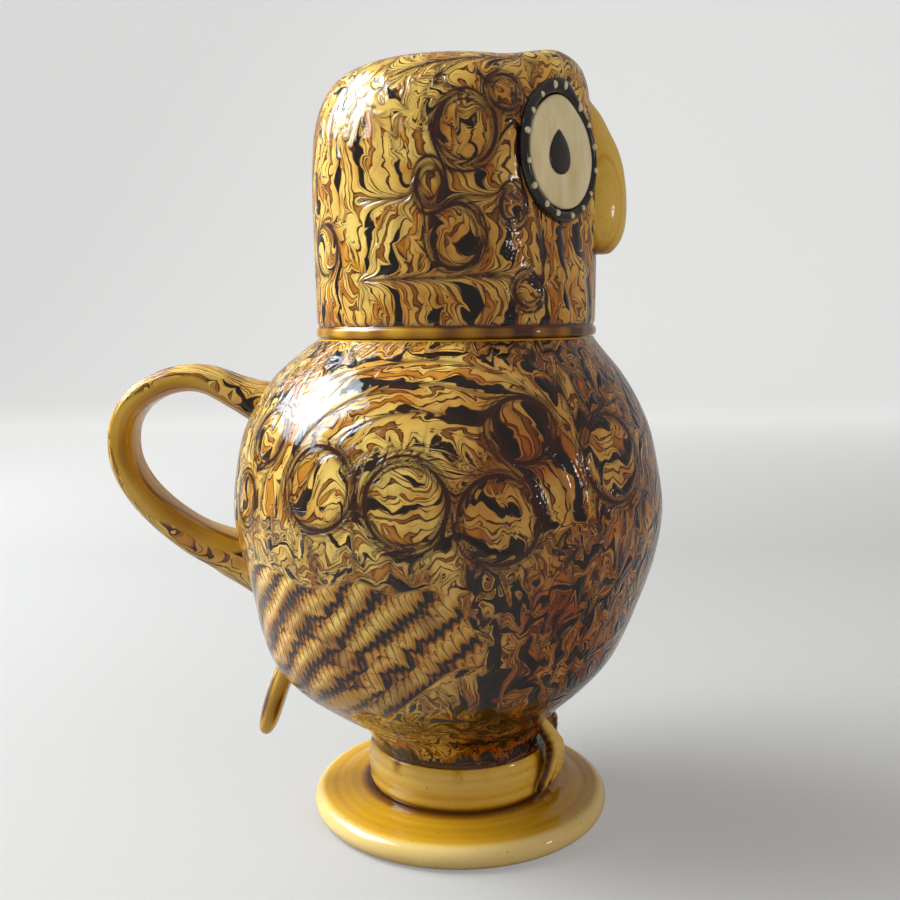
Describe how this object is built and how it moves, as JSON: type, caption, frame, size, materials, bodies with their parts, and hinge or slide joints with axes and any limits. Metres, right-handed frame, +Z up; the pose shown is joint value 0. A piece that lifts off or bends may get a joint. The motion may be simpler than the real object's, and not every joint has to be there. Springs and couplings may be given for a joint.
{
  "type": "owl pitcher",
  "caption": "Slipware pitcher in the shape of an owl on a round pedestal foot, with a strap handle and a lift-off head that serves as its cup.",
  "frame": {"origin": "on the jug's axis, at the flat underside of the foot disc", "axes": "+Z up along the jug's axis, -Y the way the owl looks, +Y towards the handle"},
  "size_m": [0.1296, 0.168, 0.2261],
  "materials": {
    "marbled_slip": "glossy lead glaze over marbled cream, amber and black slip",
    "honey_glaze": "glossy translucent honey glaze over buff clay",
    "cream_glaze": "glossy glaze over cream slip",
    "black_slip": "glossy glaze over black slip"
  },
  "bodies": {
    "jug": {"foot_disc": "honey_glaze", "foot_collar": "honey_glaze", "jug_body": "marbled_slip", "handle": "honey_glaze", "tail": "honey_glaze", "right_foot": "honey_glaze", "left_foot": "honey_glaze"},
    "head": {"head_cup": "marbled_slip", "beak": "honey_glaze", "right_eye_disc": "cream_glaze", "left_eye_disc": "cream_glaze", "right_eye_ring": "black_slip", "left_eye_ring": "black_slip", "right_pupil": "black_slip", "left_pupil": "black_slip", "right_eye_bead_1": "cream_glaze", "right_eye_bead_2": "cream_glaze", "right_eye_bead_3": "cream_glaze", "right_eye_bead_4": "cream_glaze", "right_eye_bead_5": "cream_glaze", "right_eye_bead_6": "cream_glaze", "right_eye_bead_7": "cream_glaze", "right_eye_bead_8": "cream_glaze", "right_eye_bead_9": "cream_glaze", "right_eye_bead_10": "cream_glaze", "right_eye_bead_11": "cream_glaze", "right_eye_bead_12": "cream_glaze", "right_eye_bead_13": "cream_glaze", "right_eye_bead_14": "cream_glaze", "right_eye_bead_15": "cream_glaze", "right_eye_bead_16": "cream_glaze", "left_eye_bead_1": "cream_glaze", "left_eye_bead_2": "cream_glaze", "left_eye_bead_3": "cream_glaze", "left_eye_bead_4": "cream_glaze", "left_eye_bead_5": "cream_glaze", "left_eye_bead_6": "cream_glaze", "left_eye_bead_7": "cream_glaze", "left_eye_bead_8": "cream_glaze", "left_eye_bead_9": "cream_glaze", "left_eye_bead_10": "cream_glaze", "left_eye_bead_11": "cream_glaze", "left_eye_bead_12": "cream_glaze", "left_eye_bead_13": "cream_glaze", "left_eye_bead_14": "cream_glaze", "left_eye_bead_15": "cream_glaze", "left_eye_bead_16": "cream_glaze"}
  },
  "joints": [
    {"name": "head_lift", "type": "slide", "parent": "jug", "child": "head", "axis": [0, 0, 1], "range_m": [0, 0.06]}
  ]
}
